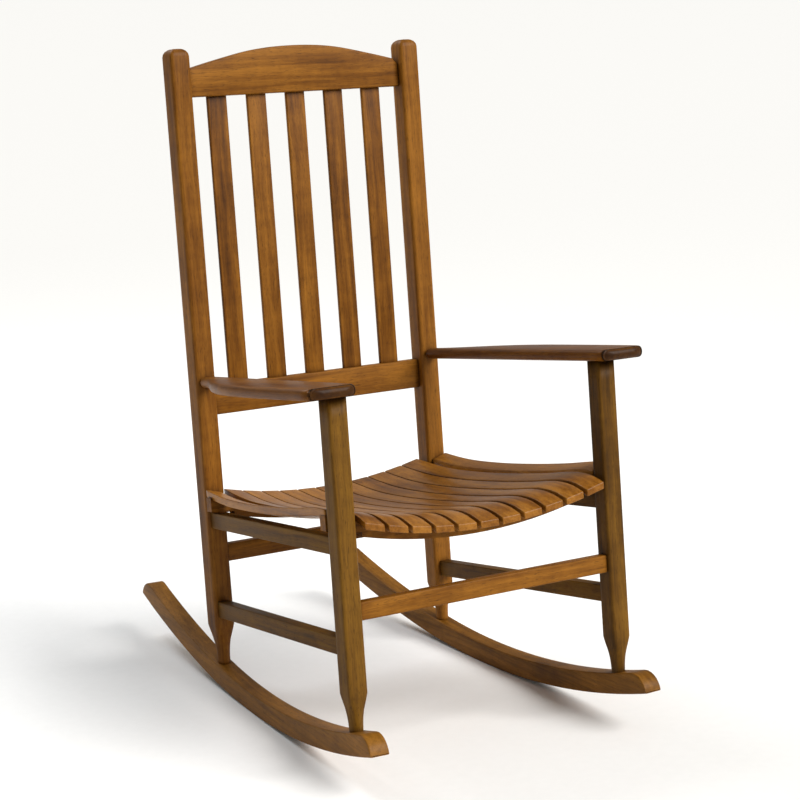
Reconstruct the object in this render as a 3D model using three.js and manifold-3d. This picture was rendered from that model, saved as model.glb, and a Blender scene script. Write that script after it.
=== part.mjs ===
// A slatted rocking chair in stained hardwood, all dimensions in millimetres.
// +Z is up, the sitter faces -Y, and left and right are the sitter's, so left is +X.
// The origin is on the floor, at the middle of the chair's width and of its length.
import * as THREE from "three";
import { mergeVertices } from "three/addons/utils/BufferGeometryUtils.js";
import Module from "manifold-3d";

const wasm = await Module();
wasm.setup();

// Clearance kept between neighbouring pieces, and inside every joint.
const FIT = 0.3;
const degrees = THREE.MathUtils.degToRad;

// The legs and posts lean back by LEAN, and the seat and arms rise a little more towards the front.
const LEAN = degrees(6.25);
const RISE = degrees(2.3);
const FRAME_Y = -162.5;
const FRAME_Z = 39.5;

// Rockers: a steam-bent bar on a circular arc, toed in towards the back.
const ROCKER_RADIUS = 1490;
const ROCKER_LOW_Y = -21;
const ROCKER_HEIGHT = 36.5;
const ROCKER_WIDTH = 33;
const ROCKER_HALF_LENGTH = 489;
const ROCKER_X = 241.5;
// The bend eases behind this point, which leaves the tail lower than the arc by the drop.
const TAIL_START = 200;
const TAIL_DROP = 9;
const TOE_IN = degrees(3.1);

// Posts and legs, by the places of their centre lines in the leaning frame.
const POST = { x: 234, v: 289.5, width: 37, depth: 39, foot: 36, top: 1139.5 };
const LEG = { x: 260, v: -242, width: 34.5, depth: 35, foot: 13, top: 570 };
const NECK_RADIUS = 11.5;
const TAPER_LENGTH = 72;
const TENON_RADIUS = 7.5;
const TENON_LENGTH = 22;
// How far below its tenon a rocker screw's sunken head starts.
const SCREW_HEAD_DEPTH = 5.5;

// Seat: slats laid front to back over two dished rails.
const SLAT_COUNT = 11;
const SLAT_PITCH = 43;
const SLAT_WIDTH = 35.5;
const SLAT_THICKNESS = 12;
const DISH_RADIUS = 890;
const SEAT_FRONT = -284;
const SEAT_BACK = 281;
// Slats draw together towards the back, and the rails and side slats narrow with them.
const SLAT_FAN = 0.13;
const FRAME_FAN = 0.1;
const SIDE_RAIL_HEIGHT = 312.5;
const SEAT_RAIL = { height: 25, thickness: 20, front: -228, back: 236 };

// Back: a crest rail and a lower rail joined by upright slats.
const BACK_SLAT = { count: 5, pitch: 79, width: 38, thickness: 8, v: 296.8 };
const BACK_RAIL_V = 294.5;
const BACK_RAIL_THICKNESS = 22;
const CREST = { bottom: 1054, end: 1103.5, middle: 1138 };
const LOWER_BACK_RAIL = { bottom: 488, top: 541 };

// Arms.
const ARM_UNDERSIDE = 552;
const ARM_THICKNESS = 19;

const woodMaterial = (hex, roughness) =>
  new THREE.MeshStandardMaterial({ color: hex, roughness, metalness: 0 });
const finishes = {
  frame: woodMaterial(0x7a5518, 0.45),
  seat: woodMaterial(0x9a6a3c, 0.38),
  rocker: woodMaterial(0x7f5528, 0.45),
  arm: woodMaterial(0x8a5524, 0.35),
  dowel: woodMaterial(0xb08a58, 0.7),
  steel: new THREE.MeshStandardMaterial({ color: 0x8c8a85, roughness: 0.4, metalness: 0.9 }),
};

// The spaces that pieces are designed in: the leaning frame, the seat inside it, and each rocker.
const chair = new THREE.Group();
const frameSpace = new THREE.Group();
frameSpace.position.set(0, FRAME_Y, FRAME_Z);
frameSpace.rotation.x = -LEAN;
const seatSpace = new THREE.Group();
seatSpace.rotation.x = -RISE;
frameSpace.add(seatSpace);
chair.add(frameSpace);

const sides = [
  { name: "left", sign: 1 },
  { name: "right", sign: -1 },
];
for (const side of sides) {
  side.rockerSpace = new THREE.Group();
  side.rockerSpace.position.x = side.sign * ROCKER_X;
  side.rockerSpace.rotation.z = side.sign * TOE_IN;
  chair.add(side.rockerSpace);
}
chair.updateMatrixWorld(true);

// A closed three.js geometry as a solid that can be joined and cut.
function solid(geometry) {
  const bare = geometry.clone();
  bare.deleteAttribute("normal");
  bare.deleteAttribute("uv");
  const merged = mergeVertices(bare, 1e-4);
  return new wasm.Manifold(new wasm.Mesh({
    numProp: 3,
    vertProperties: new Float32Array(merged.attributes.position.array),
    triVerts: new Uint32Array(merged.index.array),
  }));
}

function box(width, depth, height, x, y, z) {
  return solid(new THREE.BoxGeometry(width, depth, height).translate(x, y, z));
}

// An upright cylinder from its bottom end.
function cylinder(radius, length, x, y, z, segments = 20) {
  const geometry = new THREE.CylinderGeometry(radius, radius, length, segments);
  return solid(geometry.rotateX(Math.PI / 2).translate(x, y, z + length / 2));
}

// An outline in the Y-Z plane, extruded along X and centred on it.
function extrudeAcross(shape, width, curveSegments = 12) {
  const options = { depth: width, bevelEnabled: false, curveSegments };
  const geometry = new THREE.ExtrudeGeometry(shape, options);
  const toPlane = new THREE.Matrix4().makeBasis(
    new THREE.Vector3(0, 1, 0), new THREE.Vector3(0, 0, 1), new THREE.Vector3(1, 0, 0));
  return geometry.applyMatrix4(toPlane).translate(-width / 2, 0, 0);
}

const pieces = new Map();
function addPiece(name, space, finish, body) {
  pieces.set(name, { space, finish, body });
}

// Moves a solid from the space that it is drawn in to another one.
function carried(body, from, to) {
  const matrix = to.matrixWorld.clone().invert().multiply(from.matrixWorld);
  return body.transform(matrix.elements);
}

// Cuts a solid drawn in one space out of a piece that lives in another.
function cut(name, body, space) {
  const piece = pieces.get(name);
  piece.body = piece.body.subtract(carried(body, space, piece.space));
}

function join(name, body, space) {
  const piece = pieces.get(name);
  piece.body = piece.body.add(carried(body, space, piece.space));
}

// Rockers ------------------------------------------------------------------------------------

// The side outline: two arcs on one centre, easing at the tail, with the ends rounded over.
// grow lifts the top edge, for the curved feet of the legs that stand on it.
function rockerOutline(grow) {
  const steps = 32;
  const half = ROCKER_HALF_LENGTH / Math.cos(TOE_IN);
  const innerRadius = ROCKER_RADIUS - ROCKER_HEIGHT - grow;
  // The middle step is level, and it is the flat that the chair rests on.
  const drop = ROCKER_RADIUS * Math.cos(Math.asin(half / ROCKER_RADIUS / (steps + 1)));
  const at = (radius, y) => {
    const angle = Math.asin(y / ROCKER_RADIUS);
    const tail = Math.max(0, (y - TAIL_START) / (half - TAIL_START));
    return new THREE.Vector2(
      ROCKER_LOW_Y + radius * Math.sin(angle),
      drop - radius * Math.cos(angle) - TAIL_DROP * tail ** 2);
  };
  const low = -half - ROCKER_LOW_Y;
  const high = half - ROCKER_LOW_Y;
  const stepLength = (2 * half) / (steps + 1);
  const bottom = [at(ROCKER_RADIUS, low)];
  const firstStep = Math.ceil(low / stepLength - 0.5) + 0.5;
  for (let step = firstStep; step * stepLength < high - 4; step += 1) {
    if (step * stepLength > low + 4) bottom.push(at(ROCKER_RADIUS, step * stepLength));
  }
  bottom.push(at(ROCKER_RADIUS, high));
  const top = [];
  const nose = 30;
  const topPoints = 25;
  for (let i = 0; i <= topPoints; i += 1) {
    top.push(at(innerRadius, high - nose - ((2 * half - 2 * nose) * i) / topPoints));
  }
  // Each end is rounded over from the top edge down to a sharp lower corner.
  const rounded = (end, inwards) => [1, 2, 3, 4].map((step) => {
    const turn = (step * Math.PI) / 10;
    return at(innerRadius + ROCKER_HEIGHT * (1 - Math.cos(turn)) * 0.9,
      end + inwards * nose * (1 - Math.sin(turn)));
  });
  return new THREE.Shape([...bottom, ...rounded(high, -1).reverse(), ...top, ...rounded(low, 1)]);
}

for (const side of sides) {
  const body = solid(extrudeAcross(rockerOutline(0), ROCKER_WIDTH));
  addPiece(`rocker_${side.name}`, side.rockerSpace, "rocker", body);
}

// Legs and posts -----------------------------------------------------------------------------

// A square bar turned down at its foot to a round neck. A dome eases the top of a post.
function turnedUpright(upright, domed) {
  const { width, depth, foot, top } = upright;
  const clear = Math.hypot(width, depth) / 2 + 1;
  const profile = [
    new THREE.Vector2(0, foot - 14),
    new THREE.Vector2(NECK_RADIUS, foot - 14),
    new THREE.Vector2(NECK_RADIUS, foot + 10),
    new THREE.Vector2(NECK_RADIUS + 0.8, foot + 23),
    new THREE.Vector2(NECK_RADIUS + 4.5, foot + 40),
    new THREE.Vector2(NECK_RADIUS + 9, foot + 56),
    new THREE.Vector2(clear, foot + TAPER_LENGTH),
  ];
  if (domed) {
    profile.push(new THREE.Vector2(clear, top - 11));
    profile.push(new THREE.Vector2(clear - 6, top - 6));
    profile.push(new THREE.Vector2(clear - 12, top - 2));
    profile.push(new THREE.Vector2(clear - 19, top));
  } else {
    profile.push(new THREE.Vector2(clear, top));
  }
  profile.push(new THREE.Vector2(0, top));
  const turning = solid(new THREE.LatheGeometry(profile, 28).rotateX(Math.PI / 2));
  const length = top - foot + 60;
  return turning.intersect(box(width, depth, length, 0, 0, top - length / 2));
}

for (const side of sides) {
  const stands = [
    { name: `front_leg_${side.name}`, upright: LEG, domed: false },
    { name: `rear_post_${side.name}`, upright: POST, domed: true },
  ];
  for (const stand of stands) {
    const x = side.sign * stand.upright.x;
    const v = stand.upright.v;
    const body = turnedUpright(stand.upright, stand.domed).translate([x, v, 0]);
    addPiece(stand.name, frameSpace, "frame", body);
    // The foot is shaped to the rocker, and a round tenon goes down into it.
    const seatOnRocker = solid(extrudeAcross(rockerOutline(FIT), ROCKER_WIDTH + 20));
    const below = box(80, 2200, 120, 0, 0, -50);
    const rockerTop = seatOnRocker.add(below);
    cut(stand.name, rockerTop, side.rockerSpace);
    const shoulder = stand.upright.foot + 8;
    const tenonBottom = stand.upright.foot - TENON_LENGTH;
    const tenon = cylinder(TENON_RADIUS, shoulder - tenonBottom, x, v, tenonBottom);
    const mortise = cylinder(
      TENON_RADIUS + FIT, shoulder - tenonBottom + FIT, x, v, tenonBottom - FIT);
    join(stand.name, tenon, frameSpace);
    cut(`rocker_${side.name}`, mortise, frameSpace);
    // A screw comes up through the rocker into the tenon.
    const headBottom = tenonBottom - SCREW_HEAD_DEPTH;
    const screw = screwBody(4.2, 3, 2, 30).translate([x, v, headBottom]);
    const recess = cylinder(4.8, 20 + 3 + FIT, x, v, headBottom - 20);
    const pilot = cylinder(2.4, 28 + FIT, x, v, headBottom + 3);
    cut(`rocker_${side.name}`, recess.add(pilot), frameSpace);
    cut(stand.name, pilot, frameSpace);
    addPiece(`rocker_screw_${stand.name.split("_")[0]}_${side.name}`, frameSpace, "steel", screw);
  }
}

// A flat-headed screw standing on its head.
function screwBody(headRadius, headHeight, shankRadius, length) {
  const profile = [
    new THREE.Vector2(0, 0),
    new THREE.Vector2(headRadius, 0),
    new THREE.Vector2(headRadius, headHeight * 0.6),
    new THREE.Vector2(shankRadius, headHeight),
    new THREE.Vector2(shankRadius, length - 4),
    new THREE.Vector2(0, length),
  ];
  return solid(new THREE.LatheGeometry(profile, 12).rotateX(Math.PI / 2));
}

// Rails and stretchers -----------------------------------------------------------------------

// Shapes a rail's ends to the uprights that it meets, and gives each end a tenon.
function joinToUprights(name, ends, space) {
  for (const end of ends) {
    const { upright, sign } = end;
    const grown = box(upright.width + 2 * FIT, upright.depth + 2 * FIT, 3000,
      sign * upright.x, upright.v, 0);
    cut(name, grown, frameSpace);
    join(name, end.tenon(0), space);
    cut(end.host, end.tenon(FIT), space);
  }
}

// The straight line from a leg's centre to the centre of the post behind it.
const sideLine = (v) => LEG.x + ((POST.x - LEG.x) * (v - LEG.v)) / (POST.v - LEG.v);
const sideAngle = Math.atan2(LEG.x - POST.x, POST.v - LEG.v);

function sideBar(sign, thickness, height, v0, v1, w) {
  const middle = (v0 + v1) / 2;
  const length = (v1 - v0) / Math.cos(sideAngle);
  const geometry = new THREE.BoxGeometry(thickness, length, height);
  geometry.rotateZ(sign * sideAngle).translate(sign * sideLine(middle), middle, w);
  return solid(geometry);
}

const sideBars = [
  { name: "seat_side_rail", thickness: 22, height: 29, w: SIDE_RAIL_HEIGHT },
  { name: "side_stretcher", thickness: 22, height: 29, w: 149 },
];
for (const side of sides) {
  for (const bar of sideBars) {
    const name = `${bar.name}_${side.name}`;
    // Places along the chair move forward with height, because the seat's space is tipped back.
    const back = POST.v - bar.w * Math.tan(RISE);
    const front = LEG.v - bar.w * Math.tan(RISE);
    addPiece(name, seatSpace, "frame",
      sideBar(side.sign, bar.thickness, bar.height, front, back, bar.w));
    const tenonAt = (v0, v1) => (grow) => sideBar(
      side.sign, 10 + 2 * grow, bar.height - 9 + 2 * grow, v0 - grow, v1 + grow, bar.w);
    const backFace = back - POST.depth / 2;
    const frontFace = front + LEG.depth / 2;
    joinToUprights(name, [
      { upright: POST, sign: side.sign, host: `rear_post_${side.name}`,
        tenon: tenonAt(backFace - 6, backFace + 16) },
      { upright: LEG, sign: side.sign, host: `front_leg_${side.name}`,
        tenon: tenonAt(frontFace - 16, frontFace + 6) },
    ], seatSpace);
  }
}

// A bar that runs straight across between two uprights, tenoned into both.
function addCrossBar(name, finish, upright, hostName, section, body) {
  addPiece(name, frameSpace, finish, body);
  const innerFace = upright.x - upright.width / 2;
  const ends = sides.map((side) => ({
    upright,
    sign: side.sign,
    host: `${hostName}_${side.name}`,
    tenon: (grow) => box(20 + grow * 2, section.thickness + 2 * grow, section.height + 2 * grow,
      side.sign * (innerFace + 6), section.v, section.w),
  }));
  joinToUprights(name, ends, frameSpace);
}

const crossBars = [
  { name: "front_stretcher", upright: LEG, host: "front_leg", v: LEG.v, w: 215, height: 30 },
  { name: "rear_stretcher", upright: POST, host: "rear_post", v: 284, w: 238, height: 32 },
];
for (const bar of crossBars) {
  const thickness = 20;
  const section = { thickness: 9, height: bar.height - 16, v: bar.v, w: bar.w };
  addCrossBar(bar.name, "frame", bar.upright, bar.host, section,
    box(2 * bar.upright.x, thickness, bar.height, 0, bar.v, bar.w));
}

// Back ---------------------------------------------------------------------------------------

// The crest rail has a straight lower edge and an arched top.
function crestBody() {
  const half = POST.x;
  const span = POST.x - POST.width / 2;
  const arch = new THREE.SplineCurve([
    new THREE.Vector2(span, CREST.end),
    new THREE.Vector2(span * 0.72, CREST.end + (CREST.middle - CREST.end) * 0.42),
    new THREE.Vector2(span * 0.36, CREST.end + (CREST.middle - CREST.end) * 0.87),
    new THREE.Vector2(0, CREST.middle),
    new THREE.Vector2(-span * 0.36, CREST.end + (CREST.middle - CREST.end) * 0.87),
    new THREE.Vector2(-span * 0.72, CREST.end + (CREST.middle - CREST.end) * 0.42),
    new THREE.Vector2(-span, CREST.end),
  ]);
  const outline = new THREE.Shape([
    new THREE.Vector2(-half, CREST.bottom),
    new THREE.Vector2(half, CREST.bottom),
    new THREE.Vector2(half, CREST.end - 2),
    ...arch.getPoints(30),
    new THREE.Vector2(-half, CREST.end - 2),
  ]);
  const options = { depth: BACK_RAIL_THICKNESS, bevelEnabled: false };
  const geometry = new THREE.ExtrudeGeometry(outline, options);
  return solid(geometry.rotateX(Math.PI / 2).translate(
    0, BACK_RAIL_V + BACK_RAIL_THICKNESS / 2, 0));
}

addCrossBar("crest_rail", "frame", POST, "rear_post",
  { thickness: 11, height: 34, v: BACK_RAIL_V, w: CREST.bottom + 25 }, crestBody());

const lowerHeight = LOWER_BACK_RAIL.top - LOWER_BACK_RAIL.bottom;
const lowerMiddle = (LOWER_BACK_RAIL.top + LOWER_BACK_RAIL.bottom) / 2;
addCrossBar("lower_back_rail", "frame", POST, "rear_post",
  { thickness: 11, height: lowerHeight - 16, v: BACK_RAIL_V, w: lowerMiddle },
  box(2 * POST.x, BACK_RAIL_THICKNESS, lowerHeight, 0, BACK_RAIL_V, lowerMiddle));

const slatBottom = LOWER_BACK_RAIL.top - 14;
const slatTop = CREST.bottom + 14;
for (let i = 0; i < BACK_SLAT.count; i += 1) {
  const x = (i - (BACK_SLAT.count - 1) / 2) * BACK_SLAT.pitch;
  const slat = (grow) => box(
    BACK_SLAT.width + 2 * grow, BACK_SLAT.thickness + 2 * grow, slatTop - slatBottom + 2 * grow,
    x, BACK_SLAT.v, (slatTop + slatBottom) / 2);
  addPiece(`back_slat_${i + 1}`, frameSpace, "frame", slat(0));
  cut("crest_rail", slat(FIT), frameSpace);
  cut("lower_back_rail", slat(FIT), frameSpace);
}

// Seat ---------------------------------------------------------------------------------------

// The height of the seat's top along its middle line: a low dip, a crest, and a front that
// falls away under the knees.
const contour = new THREE.SplineCurve([
  new THREE.Vector2(SEAT_BACK, 339),
  new THREE.Vector2(180, 325.5),
  new THREE.Vector2(80, 321.5),
  new THREE.Vector2(-20, 322.5),
  new THREE.Vector2(-120, 326.5),
  new THREE.Vector2(-195, 332),
  new THREE.Vector2(-232, 331.5),
  new THREE.Vector2(-262, 326),
  new THREE.Vector2(SEAT_FRONT, 318),
]);

// The seat is dished from side to side, and narrows towards the back.
// A piece with a given middle keeps its width, and the others narrow as they draw in.
function dishAndFan(geometry, fan, middle) {
  const position = geometry.attributes.position;
  for (let i = 0; i < position.count; i += 1) {
    const v = position.getY(i);
    const drawnIn = (fan * (v - SEAT_FRONT)) / (SEAT_BACK - SEAT_FRONT);
    const across = position.getX(i);
    const x = across - drawnIn * (middle ?? across);
    const lift = DISH_RADIUS - Math.sqrt(DISH_RADIUS ** 2 - x ** 2);
    position.setXYZ(i, x, v, position.getZ(i) + lift);
  }
  return geometry;
}

const contourPoints = contour.getPoints(120);

function seatHeight(v) {
  const next = Math.max(1, contourPoints.findIndex((p) => p.x <= v + 0.01));
  const [a, b] = [contourPoints[next - 1], contourPoints[next]];
  return a.y + ((b.y - a.y) * (v - a.x)) / (b.x - a.x);
}

// A slat's side outline between two places, with its top at the contour raised by lift.
function slatOutline(vFront, vBack, thickness, lift) {
  const steps = 20;
  const upper = [];
  for (let i = 0; i <= steps; i += 1) {
    const v = vBack + ((vFront - vBack) * i) / steps;
    upper.push(new THREE.Vector2(v, seatHeight(v) + lift));
  }
  const lower = upper.map((p) => new THREE.Vector2(p.x, p.y - thickness)).reverse();
  return new THREE.Shape([...upper, ...lower]);
}

const seatOutline = slatOutline(SEAT_FRONT, SEAT_BACK, SLAT_THICKNESS, 0);
for (let i = 0; i < SLAT_COUNT; i += 1) {
  const x = (i - (SLAT_COUNT - 1) / 2) * SLAT_PITCH;
  const bar = extrudeAcross(seatOutline, SLAT_WIDTH).translate(x, 0, 0);
  const slat = dishAndFan(bar, SLAT_FAN, x);
  const number = String(i + 1).padStart(2, "0");
  addPiece(`seat_slat_${number}`, seatSpace, "seat", solid(slat));
}

// One wide slat closes the seat on each side, between the post and the leg.
const SIDE_SLAT = { x: 263, width: 33, thickness: 14, lift: -2 };
const sideSlats = [];
for (const side of sides) {
  const name = `side_slat_${side.name}`;
  // The post and the leg lean forward of the seat's own upright with height.
  const vBack = POST.v - POST.depth / 2 - 375 * Math.tan(RISE) - FIT - 1;
  const vFront = LEG.v + LEG.depth / 2 - 325 * Math.tan(RISE) + FIT + 1;
  const slat = (grow) => {
    const outline = slatOutline(
      vFront, vBack, SIDE_SLAT.thickness + 2 * grow, SIDE_SLAT.lift + grow);
    const geometry = extrudeAcross(outline, SIDE_SLAT.width + 4 * grow);
    return solid(dishAndFan(geometry.translate(side.sign * SIDE_SLAT.x, 0, 0), FRAME_FAN));
  };
  addPiece(name, seatSpace, "seat", slat(0));
  sideSlats.push(slat(FIT));
}

// The two seat rails lie on the side rails, and their top edges follow the slats above.
for (const [name, v, reach] of [
  ["seat_front_rail", SEAT_RAIL.front, 281],
  ["seat_rear_rail", SEAT_RAIL.back, 284],
]) {
  const halfThickness = SEAT_RAIL.thickness / 2;
  const lowest = Math.min(seatHeight(v - halfThickness), seatHeight(v + halfThickness));
  const underSlats = lowest - SLAT_THICKNESS - 3 * FIT;
  const height = SEAT_RAIL.height;
  const geometry = new THREE.BoxGeometry(2 * reach, SEAT_RAIL.thickness, height, 24, 1, 1);
  geometry.translate(0, v, underSlats - height / 2);
  addPiece(name, seatSpace, "frame", solid(dishAndFan(geometry, FRAME_FAN)));
  const sideRailTop = SIDE_RAIL_HEIGHT + 14.5 + FIT;
  const notches = box(700, 60, 60, 0, v, sideRailTop - 30);
  cut(name, notches.subtract(box(2 * 214, 80, 80, 0, v, SIDE_RAIL_HEIGHT)), seatSpace);
  for (const slat of sideSlats) cut(name, slat, seatSpace);
  for (const side of sides) {
    for (const upright of [LEG, POST]) {
      cut(name, box(upright.width + 2 * FIT, upright.depth + 2 * FIT, 900,
        side.sign * upright.x, upright.v, 300), frameSpace);
    }
  }
}

// Arms ---------------------------------------------------------------------------------------

function armOutline(sign, rear, front) {
  const at = (x) => sign * x;
  const outline = new THREE.Shape();
  outline.moveTo(at(221), rear);
  outline.lineTo(at(249), rear);
  outline.bezierCurveTo(at(252), rear - 90, at(312), rear - 120, at(324), rear - 270);
  outline.bezierCurveTo(at(328), rear - 330, at(328), front + 60, at(327), front + 24);
  outline.bezierCurveTo(at(326), front + 8, at(318), front, at(302), front);
  outline.lineTo(at(252), front);
  outline.bezierCurveTo(at(242), front, at(235), front + 6, at(234), front + 18);
  outline.lineTo(at(221), rear);
  return outline;
}

const armShift = ARM_UNDERSIDE * Math.tan(RISE);
const armRear = POST.v - POST.depth / 2 - armShift - 1.2;
const armFront = -309;
for (const side of sides) {
  const options = { depth: ARM_THICKNESS, bevelEnabled: false, curveSegments: 10 };
  const geometry = new THREE.ExtrudeGeometry(armOutline(side.sign, armRear, armFront), options);
  geometry.translate(0, 0, ARM_UNDERSIDE);
  addPiece(`armrest_${side.name}`, seatSpace, "arm", solid(geometry));
  const aboveLeg = box(120, 120, 100, side.sign * LEG.x, LEG.v - armShift,
    ARM_UNDERSIDE - FIT + 50);
  cut(`front_leg_${side.name}`, aboveLeg, seatSpace);

  // A dowel joins the arm to the leg, and a screw through the post holds its back end.
  const dowelV = LEG.v - armShift;
  const dowelX = side.sign * LEG.x;
  const dowelBottom = ARM_UNDERSIDE - 24;
  addPiece(`arm_dowel_${side.name}`, seatSpace, "dowel",
    cylinder(5, 36, dowelX, dowelV, dowelBottom, 16));
  const dowelHole = cylinder(5 + FIT, 36 + 2 * FIT, dowelX, dowelV, dowelBottom - FIT, 16);
  cut(`front_leg_${side.name}`, dowelHole, seatSpace);
  cut(`armrest_${side.name}`, dowelHole, seatSpace);

  const lay = new THREE.Matrix4().makeRotationX(Math.PI / 2);
  const place = (body, v) => body.transform(lay.elements).translate(
    [side.sign * 235, v, ARM_UNDERSIDE + ARM_THICKNESS / 2]);
  const postBack = POST.v + POST.depth / 2 - armShift;
  addPiece(`arm_screw_${side.name}`, seatSpace, "steel",
    place(screwBody(4.2, 3, 2, 62), postBack - 4));
  const screwHole = place(cylinder(2.4, 62, 0, 0, 0, 12), postBack - 4)
    .add(place(cylinder(4.8, 20, 0, 0, -16.6, 14), postBack - 4));
  cut(`rear_post_${side.name}`, screwHole, seatSpace);
  cut(`armrest_${side.name}`, screwHole, seatSpace);
}

// Each post's foot is pinned by two small brads, driven in from the front.
for (const side of sides) {
  for (const [index, offset] of [[1, -4], [2, 4]]) {
    const turn = new THREE.Matrix4().makeRotationX(-Math.PI / 2);
    const spot = [side.sign * POST.x + offset, POST.v - POST.depth / 2 + 13,
      POST.foot + 48 + index * 9];
    const brad = cylinder(0.9, 12, 0, 0, 0, 8).transform(turn.elements);
    const hole = cylinder(1.2, 30, 0, 0, -18 + FIT, 8).transform(turn.elements);
    addPiece(`foot_brad_${index}_${side.name}`, frameSpace, "steel", brad.translate(spot));
    cut(`rear_post_${side.name}`, hole.translate(spot), frameSpace);
  }
}

// Every finished solid becomes a named mesh in its own space.
for (const [name, { space, finish, body }] of pieces) {
  const mesh = body.getMesh();
  const geometry = new THREE.BufferGeometry();
  geometry.setAttribute("position", new THREE.BufferAttribute(mesh.vertProperties, 3));
  geometry.setIndex(new THREE.BufferAttribute(mesh.triVerts, 1));
  geometry.computeVertexNormals();
  const piece = new THREE.Mesh(geometry, finishes[finish].clone());
  piece.name = name;
  space.add(piece);
}

export default chair;
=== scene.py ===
import math

import bmesh
import bpy
import numpy as np
from mathutils import Matrix, Vector


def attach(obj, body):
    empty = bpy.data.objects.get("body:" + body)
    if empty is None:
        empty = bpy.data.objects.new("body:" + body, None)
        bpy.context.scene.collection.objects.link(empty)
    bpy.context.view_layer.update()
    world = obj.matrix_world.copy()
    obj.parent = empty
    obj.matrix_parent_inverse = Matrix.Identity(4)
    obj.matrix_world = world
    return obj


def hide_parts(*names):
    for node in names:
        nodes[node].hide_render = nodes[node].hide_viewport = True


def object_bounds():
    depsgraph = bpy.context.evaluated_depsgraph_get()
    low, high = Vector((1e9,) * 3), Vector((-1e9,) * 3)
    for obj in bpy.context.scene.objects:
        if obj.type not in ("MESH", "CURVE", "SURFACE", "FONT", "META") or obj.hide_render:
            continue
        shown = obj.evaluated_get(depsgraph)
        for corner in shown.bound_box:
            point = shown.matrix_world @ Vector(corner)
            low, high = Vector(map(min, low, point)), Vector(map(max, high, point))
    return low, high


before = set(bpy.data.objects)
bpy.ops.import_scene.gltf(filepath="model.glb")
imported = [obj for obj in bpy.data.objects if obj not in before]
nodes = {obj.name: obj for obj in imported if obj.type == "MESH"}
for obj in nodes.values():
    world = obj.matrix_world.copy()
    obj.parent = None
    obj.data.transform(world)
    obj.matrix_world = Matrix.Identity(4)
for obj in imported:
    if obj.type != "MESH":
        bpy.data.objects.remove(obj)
packed_bounds = [list(corner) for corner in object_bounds()]
SIDES = {"left": 1, "right": -1}
BACK_SLATS = 5
SEAT_SLATS = 11

# The frame leans back, and the seat and arms are tipped back a little more. Rockers toe in.
LEAN = math.radians(6.25)
RISE = math.radians(2.3)
TOE_IN = math.radians(3.1)
UPRIGHT = Matrix.Rotation(-LEAN, 4, "X")
SEAT = Matrix.Rotation(-(LEAN + RISE), 4, "X")

# Tenons are hidden in the joints. A finished rail leaves off this much of each of its tenons.
TENON_CUT = 0.0155
# A post or leg has a tenon this long in its rocker, and its finished piece keeps only the top.
FOOT_TENON = 0.022
FOOT_KEPT = 0.008

# How far the edges of each kind of piece are eased.
EDGE = 0.0020
SEAT_SLAT_EDGE = 0.0015
ROCKER_EDGE = 0.0022
CREST_EDGE = 0.0035
ARM_EDGE = 0.0082

# The foot of a post or leg: a straight neck, then a taper out to the full section.
NECK_RADIUS = 0.0115
NECK_LENGTH = 0.004
TAPER = 0.072
# The height of a post's domed top, and how far it draws in on every side.
DOME = 0.0135
DOME_INSET = DOME * 0.95
# A leg's top stops just short of the CAD leg's highest point.
LEG_SHORT = 0.001
# How square a section is: a circle, or a post with softened corners.
ROUND = 2.0
SQUARE = 12.0

# A rocker's height, and the length over which its top rounds down at each end.
ROCKER_HEIGHT = 0.0365
NOSE = 0.030


# Camera, light and stage ---------------------------------------------------------------------

def add_camera():
    """A long lens at the viewing angle of a product picture, turned slightly off level."""
    azimuth, elevation, roll = math.radians(-30.81), math.radians(12.24), math.radians(-0.75)
    data = bpy.data.cameras.new("camera")
    data.sensor_width = 36.0
    data.lens = 96.75
    data.dof.use_dof = False
    camera = bpy.data.objects.new("camera", data)
    bpy.context.collection.objects.link(camera)
    turn = Matrix.Rotation(azimuth, 4, "Z") @ Matrix.Rotation(math.pi / 2 - elevation, 4, "X")
    place = Vector((-1.8597, -3.2328, 1.3341))
    camera.matrix_world = Matrix.Translation(place) @ turn @ Matrix.Rotation(roll, 4, "Z")
    bpy.context.scene.camera = camera


def add_light(name, kind, place, direction, energy, colour):
    """Adds a light and returns its data, for the settings that only its kind has."""
    data = bpy.data.lights.new(name, kind)
    data.energy = energy
    data.color = colour
    light = bpy.data.objects.new(name, data)
    bpy.context.collection.objects.link(light)
    light.location = place
    light.rotation_euler = direction.to_track_quat("-Z", "Y").to_euler()
    return data


def add_lights():
    """A broad soft key from the front right, and a weaker light from above and behind."""
    towards = Vector((-2.1, 3.3, -3.0))
    key = add_light("key", "SUN", (0.0, 0.0, 0.0), towards, 3.9, (1.0, 0.975, 0.94))
    key.angle = math.radians(38)
    place = Vector((-0.5, 1.9, 2.7))
    middle = Vector((0.0, 0.0, packed_bounds[1][2] * 0.45))
    top = add_light("top", "AREA", place, middle - place, 42.0, (0.95, 0.97, 1.0))
    top.shape = "RECTANGLE"
    top.size, top.size_y = 1.6, 1.2


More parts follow.
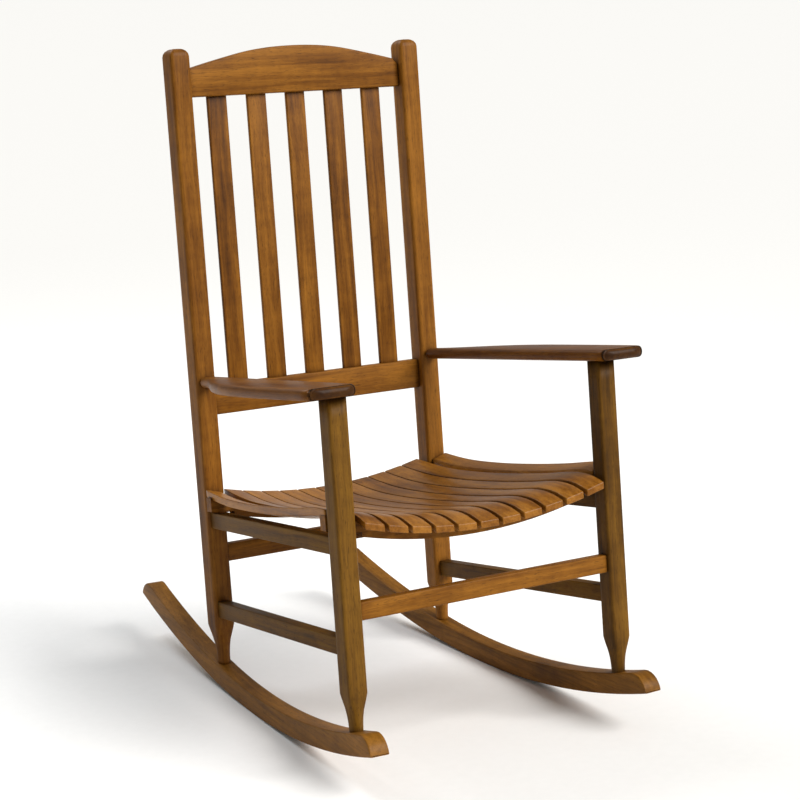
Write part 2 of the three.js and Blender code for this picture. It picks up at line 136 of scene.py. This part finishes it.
def add_world():
    """A world that fills weakly but looks pale where the camera sees it directly."""
    world = bpy.data.worlds.new("studio")
    world.use_nodes = True
    tree = world.node_tree
    fill = tree.nodes["Background"]
    fill.inputs["Color"].default_value = (0.98, 1.0, 0.97, 1.0)
    fill.inputs["Strength"].default_value = 0.32
    backdrop = tree.nodes.new("ShaderNodeBackground")
    backdrop.inputs["Color"].default_value = (1.0, 0.994, 0.970, 1.0)
    backdrop.inputs["Strength"].default_value = 0.955
    seen = tree.nodes.new("ShaderNodeLightPath").outputs["Is Camera Ray"]
    either = tree.nodes.new("ShaderNodeMixShader")
    tree.links.new(seen, either.inputs[0])
    tree.links.new(fill.outputs[0], either.inputs[1])
    tree.links.new(backdrop.outputs[0], either.inputs[2])
    tree.links.new(either.outputs[0], tree.nodes["World Output"].inputs["Surface"])
    bpy.context.scene.world = world
    bpy.context.scene.view_settings.view_transform = "Standard"


def add_floor():
    """A floor that runs far enough for its edge to be lost in the backdrop."""
    mesh = bpy.data.meshes.new("floor")
    reach = 60.0
    corners = [(x, y, 0.0) for x, y in four_corners(-reach, reach, -reach, reach)]
    mesh.from_pydata(corners, [], [(0, 1, 2, 3)])
    floor = bpy.data.objects.new("floor", mesh)
    bpy.context.collection.objects.link(floor)
    mesh.materials.append(floor_material())


# Materials -----------------------------------------------------------------------------------

class Graph:
    """A material's node tree, with short calls to add and wire its nodes."""

    def __init__(self, name):
        self.material = bpy.data.materials.new(name)
        self.material.use_nodes = True
        self.nodes = self.material.node_tree.nodes
        self.links = self.material.node_tree.links
        self.shader = self.nodes["Principled BSDF"]

    def add(self, kind, inputs=(), **settings):
        """Adds a node. An input is given as a socket to link from or as a plain value."""
        node = self.nodes.new(kind)
        for key, value in settings.items():
            setattr(node, key, value)
        for key, value in dict(inputs).items():
            if isinstance(value, bpy.types.NodeSocket):
                self.links.new(value, node.inputs[key])
            else:
                node.inputs[key].default_value = value
        return node

    def maths(self, operation, a, b=0.0):
        return self.add("ShaderNodeMath", {0: a, 1: b}, operation=operation).outputs[0]

    def weighted(self, *terms, base=0.0):
        """A base plus the sum of each term's value times its weight."""
        total = base
        for value, weight in terms:
            total = self.maths("ADD", total, self.maths("MULTIPLY", value, weight))
        return total

    def ramp(self, value, stops):
        node = self.add("ShaderNodeValToRGB", {"Fac": value})
        ramp = node.color_ramp
        while len(ramp.elements) < len(stops):
            ramp.elements.new(0.5)
        for element, (position, colour) in zip(ramp.elements, stops):
            element.position = position
            element.color = (*colour, 1.0)
        return node.outputs["Color"]

    def noise(self, vector, scale, detail, roughness=0.55):
        inputs = {"Vector": vector, "Scale": scale, "Detail": detail, "Roughness": roughness}
        return self.add("ShaderNodeTexNoise", inputs).outputs["Fac"]

    def drawn_noise(self, vector, scales, detail, roughness=0.55):
        """Noise with a scale of its own along each axis."""
        drawn = self.add("ShaderNodeMapping", {"Vector": vector, "Scale": scales})
        return self.noise(drawn.outputs["Vector"], 1.0, detail, roughness)

    def mix(self, factor, a, b, blend="MIX"):
        """Mixes two colours, which this kind of node takes as its inputs 6 and 7."""
        inputs = {0: factor, 6: a, 7: b}
        return self.add("ShaderNodeMix", inputs, data_type="RGBA", blend_type=blend).outputs[2]


def wood_material(name, dark, middle, light, roughness, coat, end_tone=0.9):
    """Stained hardwood with its grain along the piece's own X: streaks, pores and blotches."""
    graph = Graph(name)
    texture = graph.add("ShaderNodeTexCoord")

    # Each piece is cut from another place in the wood.
    random = graph.add("ShaderNodeObjectInfo").outputs["Random"]
    spread = {"X": 7.0, "Y": 3.1, "Z": 5.3}
    offset = graph.add("ShaderNodeCombineXYZ", {
        axis: graph.maths("MULTIPLY", random, reach) for axis, reach in spread.items()})
    moved = graph.add("ShaderNodeVectorMath", {0: texture.outputs["Object"], 1: offset.outputs[0]})
    place = moved.outputs["Vector"]

    # Long streaks that follow the grain, bent by a slow wander.
    wander = graph.drawn_noise(place, (2.2, 9.0, 9.0), 2.0)
    bend = graph.add("ShaderNodeCombineXYZ", {"Y": graph.maths("MULTIPLY", wander, 0.035),
                                              "Z": graph.maths("MULTIPLY", wander, 0.022)})
    bent = graph.add("ShaderNodeVectorMath", {0: place, 1: bend.outputs["Vector"]})
    grain_place = bent.outputs["Vector"]
    streaks = graph.drawn_noise(grain_place, (5.0, 130.0, 130.0), 6.0, 0.62)
    rings = graph.drawn_noise(grain_place, (1.6, 42.0, 42.0), 3.0, 0.5)
    fine = graph.drawn_noise(grain_place, (26.0, 620.0, 620.0), 3.0, 0.6)
    blotches = graph.drawn_noise(place, (9.0, 20.0, 20.0), 4.0)
    figure = graph.drawn_noise(place, (60.0, 26.0, 26.0), 2.0, 0.5)
    tone = graph.weighted((streaks, 0.42), (rings, 0.34), (blotches, 0.30), (figure, 0.10),
                          (random, 0.10))
    colour = graph.ramp(tone, [(0.45, dark), (0.59, middle), (0.75, light)])

    # Short dark pores, open along the grain.
    pore_noise = graph.drawn_noise(grain_place, (75.0, 900.0, 900.0), 2.0, 0.5)
    pores = graph.ramp(pore_noise, [(0.60, (0, 0, 0)), (0.70, (1, 1, 1))])
    pore_depth = graph.maths("MULTIPLY", pores, 0.62)
    pore_colour = (*[channel * 0.42 for channel in dark], 1.0)
    colour = graph.mix(pore_depth, colour, pore_colour)
    soft_lines = graph.ramp(fine, [(0.36, (0.80, 0.77, 0.72)), (0.62, (1.06, 1.04, 1.0))])
    colour = graph.mix(0.8, colour, soft_lines, "MULTIPLY")

    # End grain, which faces along the piece, soaks up more stain than the sides do.
    facing = graph.add("ShaderNodeSeparateXYZ", {"Vector": texture.outputs["Normal"]}).outputs["X"]
    end_grain = graph.maths("ABSOLUTE", facing)
    soaked = graph.ramp(end_grain, [(0.30, (1, 1, 1)), (0.85, (end_tone,) * 3)])
    colour = graph.mix(1.0, colour, soaked, "MULTIPLY")

    # Painted shade: the colour darkens where ambient occlusion finds joints, corners and the
    # undersides of edges.
    painted_occlusion = graph.add("ShaderNodeAmbientOcclusion", {"Distance": 0.016}, samples=6)
    painted_shade = graph.ramp(painted_occlusion.outputs["AO"], [(0.25, (0.36, 0.31, 0.26)), (0.85, (1, 1, 1))])
    colour = graph.mix(1.0, colour, painted_shade, "MULTIPLY")
    graph.links.new(colour, graph.shader.inputs["Base Color"])

    rough = graph.weighted((streaks, 0.16), (blotches, 0.10), base=roughness - 0.08)
    graph.links.new(rough, graph.shader.inputs["Roughness"])
    height = graph.weighted((fine, 0.5), (pore_depth, -1.0), (streaks, 0.5))
    bump = graph.add("ShaderNodeBump", {"Height": height, "Strength": 0.22, "Distance": 0.0006})
    graph.links.new(bump.outputs["Normal"], graph.shader.inputs["Normal"])
    graph.shader.inputs["Coat Weight"].default_value = coat
    graph.shader.inputs["Coat Roughness"].default_value = 0.24
    graph.shader.inputs["Specular IOR Level"].default_value = 0.11
    return graph.material


def steel_material():
    graph = Graph("dull_steel")
    coordinates = graph.add("ShaderNodeTexCoord").outputs["Object"]
    grime = graph.noise(coordinates, 420.0, 5.0, 0.6)
    colour = graph.ramp(grime, [(0.35, (0.035, 0.025, 0.018)), (0.7, (0.22, 0.20, 0.18))])
    graph.links.new(colour, graph.shader.inputs["Base Color"])
    rough = graph.weighted((grime, 0.4), base=0.25)
    graph.links.new(rough, graph.shader.inputs["Roughness"])
    graph.shader.inputs["Metallic"].default_value = 0.85
    return graph.material


def floor_material():
    graph = Graph("pale_paper")
    coordinates = graph.add("ShaderNodeTexCoord").outputs["Object"]
    fibre = graph.noise(coordinates, 55.0, 5.0, 0.6)
    colour = graph.ramp(fibre, [(0.3, (0.925, 0.925, 0.925)), (0.7, (0.945, 0.945, 0.945))])
    graph.links.new(colour, graph.shader.inputs["Base Color"])
    graph.shader.inputs["Roughness"].default_value = 0.9
    return graph.material


# Each wood's tones from dark to light, and its gloss. All but the dowels' are stained. The
# front legs and the side bars get a darker, greener copy of the frame's wood: painted shade.
WOODS = {
    "frame_wood": dict(dark=(0.062, 0.020, 0.0010), middle=(0.150, 0.053, 0.0032),
                       light=(0.262, 0.104, 0.010), roughness=0.46, coat=0.03),
    # Painted shade: the frame's wood made darker and greener, for pieces whose sides face away
    # from the key.
    "shaded_olive_wood": dict(dark=(0.038, 0.016, 0.0009), middle=(0.094, 0.040, 0.0024),
                       light=(0.172, 0.080, 0.007), roughness=0.50, coat=0.02),
    "seat_wood": dict(dark=(0.094, 0.030, 0.0018), middle=(0.215, 0.078, 0.0062),
                      light=(0.360, 0.150, 0.020), roughness=0.33, coat=0.16),
    "rocker_wood": dict(dark=(0.062, 0.024, 0.0014), middle=(0.150, 0.060, 0.0048),
                        light=(0.262, 0.112, 0.014), roughness=0.46, coat=0.05),
    "arm_wood": dict(dark=(0.044, 0.013, 0.0008), middle=(0.112, 0.036, 0.0024),
                     light=(0.205, 0.076, 0.007), roughness=0.36, coat=0.0, end_tone=0.30),
    "dowel_wood": dict(dark=(0.28, 0.17, 0.08), middle=(0.42, 0.28, 0.14),
                       light=(0.55, 0.40, 0.24), roughness=0.60, coat=0.0),
}


# Mesh building -------------------------------------------------------------------------------

def axes_from(grain):
    """The index of the grain's axis, then of the two axes after it."""
    axis = "XYZ".index(grain)
    return axis, (axis + 1) % 3, (axis + 2) % 3


def four_corners(low_a, high_a, low_b, high_b):
    """The corners of a rectangle, in order round it."""
    return (low_a, low_b), (high_a, low_b), (high_a, high_b), (low_a, high_b)


def points_in(node, space):
    """A CAD node's points, turned into a leaning or toed-in space."""
    flat = np.empty(len(nodes[node].data.vertices) * 3)
    nodes[node].data.vertices.foreach_get("co", flat)
    turn = np.array(space.to_3x3().inverted())
    return flat.reshape(-1, 3) @ turn.T


def box_in(node, space):
    points = points_in(node, space)
    return points.min(axis=0), points.max(axis=0)


def eased_ring(corners, radius):
    """A four-cornered section with its corners rounded."""
    steps = 4
    # The rounding never takes more than this share of a side.
    share = 0.49
    ring = []
    for i, corner in enumerate(corners):
        towards_last = corners[i - 1] - corner
        towards_next = corners[(i + 1) % 4] - corner
        reach = min(radius, towards_last.length * share, towards_next.length * share)
        a, b = towards_last.normalized() * reach, towards_next.normalized() * reach
        for step in range(steps + 1):
            turn = step * math.pi / 2 / steps
            ring.append(corner + a * (1 - math.sin(turn)) + b * (1 - math.cos(turn)))
    return ring


def shrunk(corners, amount):
    """The same section, drawn in by amount on every side."""
    result = []
    for i, corner in enumerate(corners):
        a = (corners[i - 1] - corner).normalized()
        b = (corners[(i + 1) % 4] - corner).normalized()
        result.append(corner + (a + b) * amount)
    return result


def along(stations, distance, at_end):
    """The section at a distance in from one end of a run of sections."""
    run = stations[::-1] if at_end else stations
    middles = [sum(section, Vector()) / 4 for section in run]
    last_step = len(run) - 2
    gone = 0.0
    for i in range(last_step + 1):
        step = (middles[i + 1] - middles[i]).length
        if gone + step >= distance or i == last_step:
            t = min(1.0, (distance - gone) / max(step, 1e-9))
            return [p.lerp(q, t) for p, q in zip(run[i], run[i + 1])]
        gone += step


def eased_end(stations, easing, at_end):
    """Sections that round one end of a run over, from the very end inwards."""
    steps = 3
    # The first section stands a hair inside the end.
    start = 1e-6
    sections = []
    for step in range(steps + 1):
        turn = step * math.pi / 2 / steps
        section = along(stations, easing * (1 - math.cos(turn)) + start, at_end)
        sections.append(shrunk(section, easing * (1 - math.sin(turn))))
    return sections


def outward(mesh):
    """Turns every face of a closed skin outwards."""
    shape = bmesh.new()
    shape.from_mesh(mesh)
    bmesh.ops.recalc_face_normals(shape, faces=shape.faces)
    shape.to_mesh(mesh)
    shape.free()


def loft(node, rings, grain, space, slot, finish=None):
    """A closed skin through rings of points, stored with its grain along the object's own X."""
    count = len(rings[0])
    points = [point for ring in rings for point in ring]
    order = axes_from(grain)
    turn = Matrix([[float(order[column] == row) for column in range(3)] for row in range(3)])
    centre = sum(points, Vector()) / len(points)
    inward = turn.transposed()
    vertices = [inward @ (point - centre) for point in points]
    faces = []
    for here in range(0, len(points) - count, count):
        there = here + count
        for j in range(count):
            k = (j + 1) % count
            faces.append((here + j, here + k, there + k, there + j))
    faces.append(tuple(range(count))[::-1])
    faces.append(tuple(range(len(points) - count, len(points))))
    mesh = bpy.data.meshes.new(node)
    mesh.from_pydata(vertices, [], faces)
    outward(mesh)
    piece = bpy.data.objects.new(f"{node}_finished", mesh)
    bpy.context.collection.objects.link(piece)
    piece.matrix_world = space @ Matrix.Translation(centre) @ turn.to_4x4()
    mesh.polygons.foreach_set("use_smooth", [True] * len(mesh.polygons))
    mesh.materials.append(finishes[finish or slot])
    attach(piece, "root")
    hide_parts(node)
    return piece


def bar(node, stations, grain, space, slot, easing=EDGE, finish=None):
    """A piece of timber through a run of four-cornered sections, with its edges eased."""
    first, last = eased_end(stations, easing, False), eased_end(stations, easing, True)
    rings = first + stations[1:-1] + last[::-1]
    return loft(node, [eased_ring(ring, easing) for ring in rings], grain, space, slot, finish)


# Pieces --------------------------------------------------------------------------------------

def straight_stations(low, high, grain):
    """The sections of a straight bar that fills a box, along one axis."""
    axis, a, b = axes_from(grain)
    parts = 2
    stations = []
    for part in range(parts + 1):
        section = []
        for at_a, at_b in four_corners(low[a], high[a], low[b], high[b]):
            corner = [0.0, 0.0, 0.0]
            corner[axis] = low[axis] + (high[axis] - low[axis]) * part / parts
            corner[a], corner[b] = at_a, at_b
            section.append(Vector(corner))
        stations.append(section)
    return stations


def add_straight(node, grain, space, slot, cut=0.0, finish=None):
    """A straight bar that fills its CAD node's box, with a length cut from each end."""
    low, high = box_in(node, space)
    axis = "XYZ".index(grain)
    low[axis] += cut
    high[axis] -= cut
    bar(node, straight_stations(low, high, grain), grain, space, slot, finish=finish)


def add_rails():
    """The back's slats and lower rail, the stretchers, and the side bars, which run inwards."""
    for node in ("front_stretcher", "rear_stretcher", "lower_back_rail"):
        add_straight(node, "X", UPRIGHT, "frame_wood", TENON_CUT)
    for i in range(1, BACK_SLATS + 1):
        add_straight(f"back_slat_{i}", "Z", UPRIGHT, "frame_wood")
    # Seen from above, the side bars turn in by this angle from the legs to the posts.
    leg, post = [sum(box_in(f"{name}_left", UPRIGHT)) / 2 for name in ("front_leg", "rear_post")]
    run_in = math.atan2(leg[0] - post[0], post[1] - leg[1])
    for side, sign in SIDES.items():
        space = SEAT @ Matrix.Rotation(sign * run_in, 4, "Z")
        for name in ("seat_side_rail", "side_stretcher"):
            # The side bars take the darker, greener wood that paints shade on them.
            add_straight(f"{name}_{side}", "Y", space, "frame_wood", TENON_CUT, "shaded_olive_wood")


def add_crest():
    """The crest rail: straight below, arched above, and cut off where its tenons begin."""
    points = points_in("crest_rail", UPRIGHT)
    low, high = points.min(axis=0), points.max(axis=0)
    clear_of_base = 0.04
    top = points[points[:, 2] > low[2] + clear_of_base]
    top = top[np.argsort(top[:, 0])]
    rising = np.maximum.accumulate(top[:, 2])
    falling = np.maximum.accumulate(top[::-1, 2])[::-1]
    reach = high[0] - TENON_CUT
    parts = 36
    stations = []
    for part in range(parts + 1):
        x = -reach + 2 * reach * part / parts
        arch = float(np.interp(x, top[:, 0], rising if x < 0 else falling))
        section = four_corners(low[1], high[1], low[2], arch)
        stations.append([Vector((x, y, z)) for y, z in section])
    bar("crest_rail", stations, "X", UPRIGHT, "frame_wood", CREST_EDGE)


def squircle(width, depth, power):
    """A section that is an ellipse at power 2, and squarer the higher the power."""
    count = 40
    ring = []
    for i in range(count):
        angle = 2 * math.pi * (i + 0.5) / count
        c, s = math.cos(angle), math.sin(angle)
        radius = (abs(c) ** power + abs(s) ** power) ** (-1 / power)
        ring.append((c * radius * width / 2, s * radius * depth / 2))
    return ring


def add_upright(node, domed):
    """A post or leg: square above, turned down to a round neck where it meets its rocker."""
    low, high = box_in(node, UPRIGHT)
    width, depth = high[0] - low[0], high[1] - low[1]
    middle = (low + high) / 2
    foot = low[2] + FOOT_TENON
    top = high[2]
    neck = 2 * NECK_RADIUS
    steps = 14

    # Each section is a height, a width, a depth and a squareness, from the foot upwards.
    sections = [(foot - FOOT_KEPT, neck, neck, ROUND), (foot + NECK_LENGTH, neck, neck, ROUND)]
    for step in range(1, steps + 1):
        t = step / steps
        # It swells slowly out of the neck and faster above.
        swell = t * t * (1.55 - 0.55 * t)
        sections.append((foot + NECK_LENGTH + (TAPER - NECK_LENGTH) * t,
                         neck + (width - neck) * swell, neck + (depth - neck) * swell,
                         ROUND + (SQUARE - ROUND) * t ** 5))
    end = top - (DOME if domed else LEG_SHORT)
    for step in range(1, steps + 1):
        height = foot + TAPER + (end - foot - TAPER) * (step / steps)
        sections.append((height, width, depth, SQUARE))
    if domed:
        softening = 7.0
        for turn in (0.25, 0.5, 0.72, 0.88, 0.97):
            angle = turn * math.pi / 2
            inset = DOME_INSET * (1 - math.cos(angle))
            sections.append((top - DOME * (1 - math.sin(angle)), width - 2 * inset,
                             depth - 2 * inset, SQUARE - softening * turn))

    rings = []
    for height, wide, deep, power in sections:
        ring = squircle(wide, deep, power)
        rings.append([Vector((middle[0] + x, middle[1] + y, height)) for x, y in ring])
    # A leg takes the darker, greener wood that paints shade on it; a post keeps the frame's wood.
    loft(node, rings, "Z", UPRIGHT, "frame_wood", None if domed else "shaded_olive_wood")


def lower_edge(points):
    """The underside of a bent bar: the lower half of the hull round its side outline."""
    # Rounded to a hundredth of a millimetre, the bar's two sides give the same points.
    outline = {(round(float(y), 5), round(float(z), 5)) for x, y, z in points}
    chain = []
    for y, z in sorted(outline):
        while len(chain) > 1:
            (y0, z0), (y1, z1) = chain[-2], chain[-1]
            if (y1 - y0) * (z - z0) > (z1 - z0) * (y - y0):
                break
            chain.pop()
        chain.append((y, z))
    return chain


def add_rocker(side, sign):
    """A bent bar, with its two ends rounded over down to a sharp lower corner."""
    node = f"rocker_{side}"
    space = Matrix.Rotation(sign * TOE_IN, 4, "Z")
    points = points_in(node, space)
    low, high = points.min(axis=0), points.max(axis=0)
    ys, zs = zip(*lower_edge(points))
    degree = 7
    curve = np.poly1d(np.polyfit(ys, zs, degree))
    slope = curve.deriv()
    start, stop = ys[0], ys[-1]

    # Sections crowd together towards the two ends, where the top rounds over.
    parts, nose_parts = 72, 7
    reaches = [NOSE * (k / nose_parts) ** 2 for k in range(nose_parts)]
    places = [start + reach for reach in reaches]
    places += [start + NOSE + (stop - start - 2 * NOSE) * k / parts for k in range(parts + 1)]
    places += [stop - reach for reach in reversed(reaches)]
    # The share of the height that is left at the very end.
    tip = 0.10
    stations = []
    for y in places:
        inside = min(1.0, min(y - start, stop - y) / NOSE)
        rounding = math.sqrt(max(0.0, 1 - (1 - inside) ** 2))
        height = ROCKER_HEIGHT * (tip + (1 - tip) * rounding)
        normal = Vector((0.0, -slope(y), 1.0)).normalized()
        foot = Vector((0.0, y, max(0.0, curve(y))))
        section = four_corners(low[0], high[0], 0.0, height)
        stations.append([foot + normal * lift + Vector((x, 0.0, 0.0)) for x, lift in section])
    bar(node, stations, "Y", space, "rocker_wood", ROCKER_EDGE)


def slat_stations(node):
    """A seat slat's sections from its CAD solid, where each step along it has four corners."""
    points = points_in(node, SEAT)
    points = points[np.argsort(points[:, 1])]
    # Points nearer together than this along the slat belong to the same step.
    step_gap = 0.004
    next_steps = np.flatnonzero(np.diff(points[:, 1]) > step_gap) + 1
    stations = []
    for members in np.split(points, next_steps):
        middle = np.median(members[:, 0])
        section = []
        for across, upper in four_corners(-1, 1, False, True):
            half = members[(members[:, 0] - middle) * across > 0]
            pick = np.argmax(half[:, 2]) if upper else np.argmin(half[:, 2])
            section.append(Vector(half[pick]))
        stations.append(section)
    return stations


def refined(stations):
    """The same run of sections with smooth in-between steps, on a curve through each corner."""
    parts = 2
    result = []
    last = len(stations) - 1
    for i in range(last):
        for part in range(parts):
            t = part / parts
            before, after = stations[max(i - 1, 0)], stations[min(i + 2, last)]
            section = []
            for p0, p1, p2, p3 in zip(before, stations[i], stations[i + 1], after):
                section.append(0.5 * (2 * p1 + (p2 - p0) * t
                                      + (2 * p0 - 5 * p1 + 4 * p2 - p3) * t * t
                                      + (3 * p1 - p0 - 3 * p2 + p3) * t ** 3))
            result.append(section)
    result.append(stations[last])
    return result


def add_seat():
    """The dished slats, and the slat at each side of them."""
    easings = {f"seat_slat_{i:02d}": SEAT_SLAT_EDGE for i in range(1, SEAT_SLATS + 1)}
    easings.update({f"side_slat_{side}": EDGE for side in SIDES})
    for node, easing in easings.items():
        bar(node, refined(slat_stations(node)), "Y", SEAT, "seat_wood", easing)


def add_arm(side, sign):
    """A flat arm that flares outwards to a broad, round-cornered front, with softened edges."""
    node = f"armrest_{side}"
    points = points_in(node, SEAT)
    low, high = points.min(axis=0), points.max(axis=0)
    same = 1e-4
    top = points[points[:, 2] > high[2] - same]
    ys, across = top[:, 1], np.abs(top[:, 0])
    front_y, rear_y = ys.min(), ys.max()

    # The outline's points are sorted into the outer and the inner edge by the arm's middle line.
    at_front, at_rear = across[ys < front_y + same], across[ys > rear_y - same]
    ends = [(at_end.min() + at_end.max()) / 2 for at_end in (at_front, at_rear)]
    is_outer = across > np.interp(ys, [front_y, rear_y], ends)
    outer, inner = top[is_outer], top[~is_outer]
    outer, inner = outer[np.argsort(outer[:, 1])], inner[np.argsort(inner[:, 1])]

    # Sections stop a hair short of both ends, and are closer together at the front.
    margin = 0.0004
    crowding = 0.35
    length = rear_y - front_y
    parts = 70
    stations = []
    for part in range(parts + 1):
        t = part / parts
        share = t * t * crowding + t * (1 - crowding)
        y = front_y + margin + (length - 2 * margin) * share
        inside = sign * np.interp(y, inner[:, 1], np.abs(inner[:, 0]))
        outside = sign * np.interp(y, outer[:, 1], np.abs(outer[:, 0]))
        section = four_corners(inside, outside, low[2], high[2])
        stations.append([Vector((x, y, z)) for x, z in section])
    bar(node, stations, "Y", SEAT, "arm_wood", ARM_EDGE)


def finish_kept_nodes():
    """The CAD nodes that stay: both seat rails, the dowels and the steel."""
    kept = {"seat_front_rail": "frame_wood", "seat_rear_rail": "frame_wood"}
    for side in SIDES:
        kept[f"arm_dowel_{side}"] = "dowel_wood"
        for name in ("arm_screw", "rocker_screw_front", "rocker_screw_rear",
                     "foot_brad_1", "foot_brad_2"):
            kept[f"{name}_{side}"] = "steel"
    for node, finish in kept.items():
        materials = nodes[node].data.materials
        materials.clear()
        materials.append(finishes[finish])


# Making --------------------------------------------------------------------------------------

add_camera()
add_lights()
add_world()
add_floor()
finishes = {name: wood_material(name, **look) for name, look in WOODS.items()}
finishes["steel"] = steel_material()
add_rails()
add_crest()
for side, sign in SIDES.items():
    add_upright(f"rear_post_{side}", True)
    add_upright(f"front_leg_{side}", False)
    add_rocker(side, sign)
    add_arm(side, sign)
add_seat()
finish_kept_nodes()
